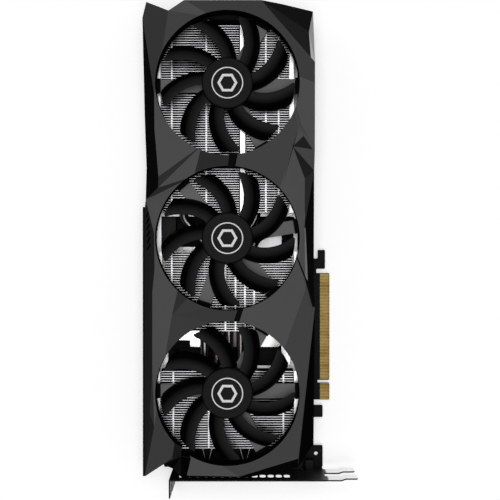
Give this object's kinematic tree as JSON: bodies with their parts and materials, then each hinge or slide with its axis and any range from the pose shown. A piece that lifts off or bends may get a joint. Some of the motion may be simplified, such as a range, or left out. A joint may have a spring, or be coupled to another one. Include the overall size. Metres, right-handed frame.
{
  "type": "graphics card",
  "caption": "Long desktop graphics card with axial fans under a faceted shroud, aluminium fin stacks, slot bracket and edge connector.",
  "frame": {"origin": "centre of the card's bounding box in plan, on the outer face of the backplate", "axes": "+X towards the slot edge with the edge contacts, +Y from the slot bracket to the tail, +Z out of the fans"},
  "size_m": [0.1376, 0.3156, 0.043],
  "materials": {
    "shroud_plastic": "matte moulded black",
    "trim_plastic": "matte moulded black, darker",
    "frame_plastic": "satin dark grey",
    "blade_plastic": "satin black",
    "cap_plastic": "satin black",
    "bearing_bronze": "sintered",
    "stator_steel": "laminated",
    "magnet_ferrite": "ground ferrite",
    "shaft_steel": "ground",
    "screw_steel": "black zinc",
    "nickel": "nickel plated",
    "fin_aluminium": "bare stamped",
    "sheet_aluminium": "bare, bright",
    "board": "black solder mask",
    "contact_gold": "gold plated",
    "substrate": "laminate",
    "die": "polished silicon",
    "chip_plastic": "moulded epoxy",
    "thermal_pad": "soft",
    "ferrite": "pressed powder",
    "can_aluminium": "drawn can",
    "header_plastic": "moulded",
    "pin_metal": "tin plated",
    "socket_metal": "plated",
    "bracket_steel": "black powder coat",
    "backplate_metal": "black anodised",
    "spring_steel": "blackened"
  },
  "bodies": {
    "card": {"shroud": "shroud_plastic", "shroud_side_trim": "trim_plastic", "fan_1_frame": "frame_plastic", "fan_2_frame": "frame_plastic", "fan_3_frame": "frame_plastic", "fan_1_bearing": "bearing_bronze", "fan_2_bearing": "bearing_bronze", "fan_3_bearing": "bearing_bronze", "fan_1_stator": "stator_steel", "fan_2_stator": "stator_steel", "fan_3_stator": "stator_steel", "fan_screws": "screw_steel", "heat_pipe_1": "nickel", "heat_pipe_2": "nickel", "heat_pipe_3": "nickel", "heat_pipe_4": "nickel", "heat_pipe_5": "nickel", "heat_pipe_flat": "nickel", "fin_stack_tail": "fin_aluminium", "fin_stack_middle": "fin_aluminium", "fin_stack_io": "fin_aluminium", "cold_plate": "nickel", "cooler_frame": "sheet_aluminium", "frame_spacers": "screw_steel", "board_spacers": "screw_steel", "pcb": "board", "edge_contacts": "contact_gold", "gpu_substrate": "substrate", "gpu_die": "die", "memory_chips": "chip_plastic", "thermal_pads": "thermal_pad", "power_stages": "chip_plastic", "power_stage_bar": "sheet_aluminium", "chokes": "ferrite", "capacitors": "can_aluminium", "fan_headers": "header_plastic", "supply_socket": "header_plastic", "supply_pins": "pin_metal", "display_ports": "socket_metal", "hdmi_port": "socket_metal", "socket_tongues": "header_plastic", "io_bracket": "bracket_steel", "bracket_lugs": "sheet_aluminium", "bracket_screws": "screw_steel", "backplate": "backplate_metal", "rear_bracket": "spring_steel", "cooler_screws": "screw_steel", "backplate_screws": "screw_steel"},
    "fan_1": {"fan_1_rotor": "blade_plastic", "fan_1_hub_cap": "cap_plastic", "fan_1_shaft": "shaft_steel", "fan_1_magnet": "magnet_ferrite"},
    "fan_2": {"fan_2_rotor": "blade_plastic", "fan_2_hub_cap": "cap_plastic", "fan_2_shaft": "shaft_steel", "fan_2_magnet": "magnet_ferrite"},
    "fan_3": {"fan_3_rotor": "blade_plastic", "fan_3_hub_cap": "cap_plastic", "fan_3_shaft": "shaft_steel", "fan_3_magnet": "magnet_ferrite"}
  },
  "joints": [
    {"name": "fan_1_spin", "type": "hinge", "parent": "card", "child": "fan_1", "pos_m": [-0.0143, 0.1057, 0.035], "axis": [0, 0, 1], "continuous": true},
    {"name": "fan_2_spin", "type": "hinge", "parent": "card", "child": "fan_2", "pos_m": [-0.0143, 0.0075, 0.035], "axis": [0, 0, 1], "continuous": true},
    {"name": "fan_3_spin", "type": "hinge", "parent": "card", "child": "fan_3", "pos_m": [-0.0143, -0.0907, 0.035], "axis": [0, 0, 1], "continuous": true}
  ]
}
